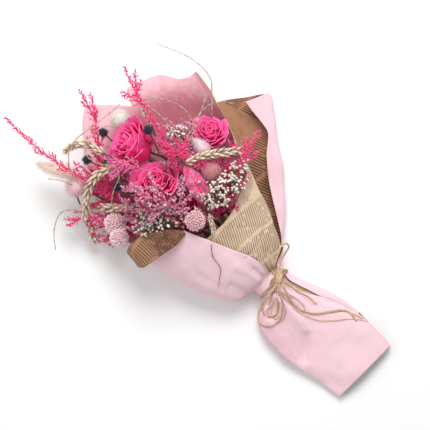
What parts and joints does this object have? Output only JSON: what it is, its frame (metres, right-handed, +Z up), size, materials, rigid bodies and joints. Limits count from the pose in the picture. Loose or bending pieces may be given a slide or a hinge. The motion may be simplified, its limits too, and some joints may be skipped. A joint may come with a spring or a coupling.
{
  "type": "dried flower bouquet",
  "caption": "Hand-tied dried flower bouquet with roses, wheat, grasses and baby's breath in a two-layer paper wrap tied with jute twine, lying on its back.",
  "frame": {"origin": "on the surface that the bouquet lies on, under the middle of its box, measured without the loose twine", "axes": "+X from the tie towards the flower heads, +Y to the side where the flap's cuff is, +Z up"},
  "size_m": [0.4408, 0.2643, 0.0894],
  "materials": {
    "pink_paper": "matt, pink on one face and brown kraft on the other",
    "kraft_paper": "matt, brown kraft on one face and pink on the other",
    "straw_stems": "dry, matt",
    "jute_twine": "coarse, matt",
    "rose_petals": "dyed petals, matt",
    "crimson_petals": "dyed petals, matt",
    "pink_leaf": "dyed skeleton leaf, matt",
    "wheat": "dry, matt",
    "cream_tail": "soft, matt",
    "dusty_tail": "soft, matt",
    "thistle_blue": "dry, matt",
    "thistle_sage": "dry, matt",
    "pink_grass": "dyed, matt",
    "crimson_grass": "dyed, matt",
    "mauve_lavender": "dry, matt",
    "white_florets": "dry, matt",
    "curly_twig": "dry, satin"
  },
  "bodies": {
    "root": {"outer_wrap": "pink_paper", "inner_wrap": "kraft_paper", "stem_bundle": "straw_stems", "twine_binding": "jute_twine", "twine_loop_long": "jute_twine", "twine_loop_short": "jute_twine", "twine_loop_up": "jute_twine", "twine_end_long": "jute_twine", "twine_end_short": "jute_twine", "rose_1": "rose_petals", "rose_2": "rose_petals", "rose_3": "rose_petals", "crimson_bloom": "crimson_petals", "skeleton_leaf": "pink_leaf", "wheat_1": "wheat", "wheat_2": "wheat", "wheat_3": "wheat", "wheat_4": "wheat", "wheat_5": "wheat", "wheat_6": "wheat", "wheat_7": "wheat", "bunny_tail_white": "cream_tail", "bunny_tail_plume": "cream_tail", "bunny_tail_cream": "cream_tail", "bunny_tail_rose": "dusty_tail", "bunny_tail_dusty": "dusty_tail", "globe_flower_1": "dusty_tail", "globe_flower_2": "dusty_tail", "globe_flower_3": "dusty_tail", "thistle_1": "thistle_blue", "thistle_2": "thistle_blue", "thistle_4": "thistle_blue", "thistle_5": "thistle_blue", "thistle_3": "thistle_sage", "pink_spray_1": "pink_grass", "pink_spray_2": "pink_grass", "pink_spray_3": "pink_grass", "pink_spray_4": "pink_grass", "pink_spray_5": "pink_grass", "pink_spray_6": "pink_grass", "pink_spray_7": "pink_grass", "red_spray_1": "crimson_grass", "red_spray_2": "crimson_grass", "grass_fan": "crimson_grass", "sea_lavender_1": "mauve_lavender", "sea_lavender_2": "mauve_lavender", "sea_lavender_3": "mauve_lavender", "gypsophila_1": "white_florets", "gypsophila_2": "white_florets", "gypsophila_3": "white_florets", "twig_1": "curly_twig", "twig_2": "curly_twig", "twig_3": "curly_twig", "twig_4": "curly_twig", "twig_5": "curly_twig", "twig_6": "curly_twig", "twig_7": "curly_twig", "twig_8": "curly_twig", "twig_9": "curly_twig", "twig_10": "curly_twig"}
  },
  "joints": []
}
